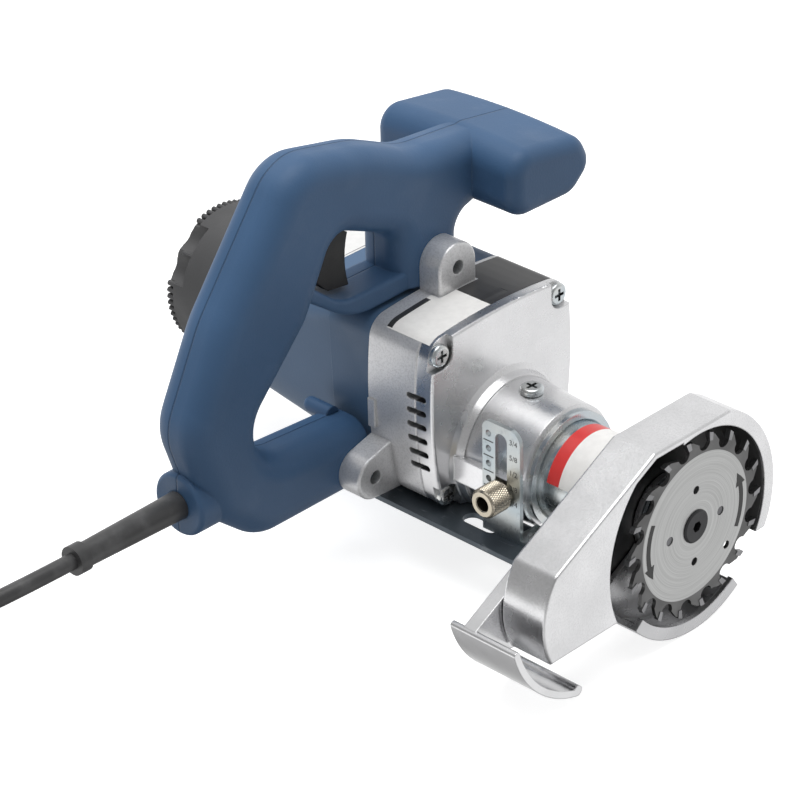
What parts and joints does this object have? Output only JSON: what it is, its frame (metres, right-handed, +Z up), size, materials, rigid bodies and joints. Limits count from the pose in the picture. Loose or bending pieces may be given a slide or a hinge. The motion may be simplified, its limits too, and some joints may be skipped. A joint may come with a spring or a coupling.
{
  "type": "toe-kick saw",
  "caption": "Hand held corded saw with a small blade in a cast side head, swinging guards, a depth plate, a D grip with trigger and a T bar, for cutting flooring under cabinets.",
  "frame": {"origin": "on the underside of the base plate, straight below the spindle axis, at the joint plane of gear case and nose cover", "axes": "+X forward along the spindle to the blade, +Y to the user's left (the T-bar side), +Z up"},
  "size_m": [0.288, 0.6273, 0.1964],
  "materials": {
    "cast_metal": "polished die casting",
    "plated_steel": "zinc plated",
    "knurled_steel": "knurled and nickel plated",
    "painted_plate": "dark blue grey paint",
    "blade_steel": "ground",
    "blue_plastic": "fine textured",
    "dark_plastic": "satin",
    "black_rubber": "matt",
    "machined_steel": "machined",
    "lamination": "stacked sheet",
    "copper": "wound copper",
    "contact_metal": "bright",
    "carbon": "matt carbon"
  },
  "bodies": {
    "tool": {"brush_holders": "dark_plastic", "carbon_brushes": "carbon", "cord_coil": "black_rubber", "cord_tail": "black_rubber", "cord_tie": "black_rubber", "field_coils": "copper", "front_handle_shell": "blue_plastic", "front_motor_bearing": "machined_steel", "front_spindle_bearing": "machined_steel", "gear_case": "cast_metal", "guard_retaining_ring": "plated_steel", "guard_spring": "plated_steel", "handle_screws": "plated_steel", "head_casting": "cast_metal", "head_screws": "plated_steel", "lever_collar": "plated_steel", "motor_end_cap": "dark_plastic", "motor_housing": "blue_plastic", "neck_ring": "plated_steel", "neck_screw": "plated_steel", "neck_sleeve": "plated_steel", "nose_cover": "cast_metal", "nose_cover_screws": "plated_steel", "plug_blades": "contact_metal", "plug_body": "dark_plastic", "rear_handle_shell": "blue_plastic", "rear_motor_bearing": "machined_steel", "rear_spindle_bearing": "machined_steel", "stator_core": "lamination", "strain_relief": "black_rubber", "supply_cord": "black_rubber", "switch_body": "dark_plastic"},
    "armature": {"armature_shaft": "machined_steel", "armature_core": "lamination", "commutator": "copper", "cooling_fan": "dark_plastic", "motor_pinion": "machined_steel"},
    "spindle_and_blade": {"spindle": "blade_steel", "drive_gear": "machined_steel", "blade_flange": "blade_steel", "drive_pins": "blade_steel", "saw_blade": "blade_steel", "carbide_tips": "blade_steel", "blade_screw": "blade_steel"},
    "lower_guard": {"lower_guard": "cast_metal"},
    "guard_lever": {"guard_lever": "cast_metal"},
    "base": {"base_plate": "painted_plate", "depth_bracket": "plated_steel", "bracket_screw": "plated_steel"},
    "depth_knob": {"depth_knob": "knurled_steel"},
    "trigger": {"trigger": "dark_plastic"}
  },
  "joints": [
    {"name": "armature_spin", "type": "hinge", "parent": "tool", "child": "armature", "pos_m": [0, 0, 0.0448], "axis": [1, 0, 0], "continuous": true},
    {"name": "blade_spin", "type": "hinge", "parent": "tool", "child": "spindle_and_blade", "pos_m": [0, 0, 0.0238], "axis": [1, 0, 0], "continuous": true},
    {"name": "lower_guard_swing", "type": "hinge", "parent": "tool", "child": "lower_guard", "pos_m": [0.1, 0, 0.0238], "axis": [-1, 0, 0], "range_deg": [0, 80], "stiffness_Nm_per_rad": 0.12, "springref_deg": -22.92},
    {"name": "guard_lever_swing", "type": "hinge", "parent": "tool", "child": "guard_lever", "pos_m": [0.09, 0, 0.0238], "axis": [-1, 0, 0], "range_deg": [0, 8], "stiffness_Nm_per_rad": 1.5, "springref_deg": -5.73},
    {"name": "depth_slide", "type": "slide", "parent": "tool", "child": "base", "axis": [0, 0, -1], "range_m": [0, 0.019]},
    {"name": "depth_knob_turn", "type": "hinge", "parent": "tool", "child": "depth_knob", "pos_m": [0.0405, -0.035, 0.0238], "axis": [0, -1, 0], "continuous": true},
    {"name": "trigger_pull", "type": "slide", "parent": "tool", "child": "trigger", "axis": [0, -0.788, 0.6157], "range_m": [0, 0.006], "stiffness_N_per_m": 600, "springref_m": -0.004}
  ],
  "couplings": [
    {"joint": "blade_spin", "follows": "armature_spin", "ratio": -0.5}
  ]
}
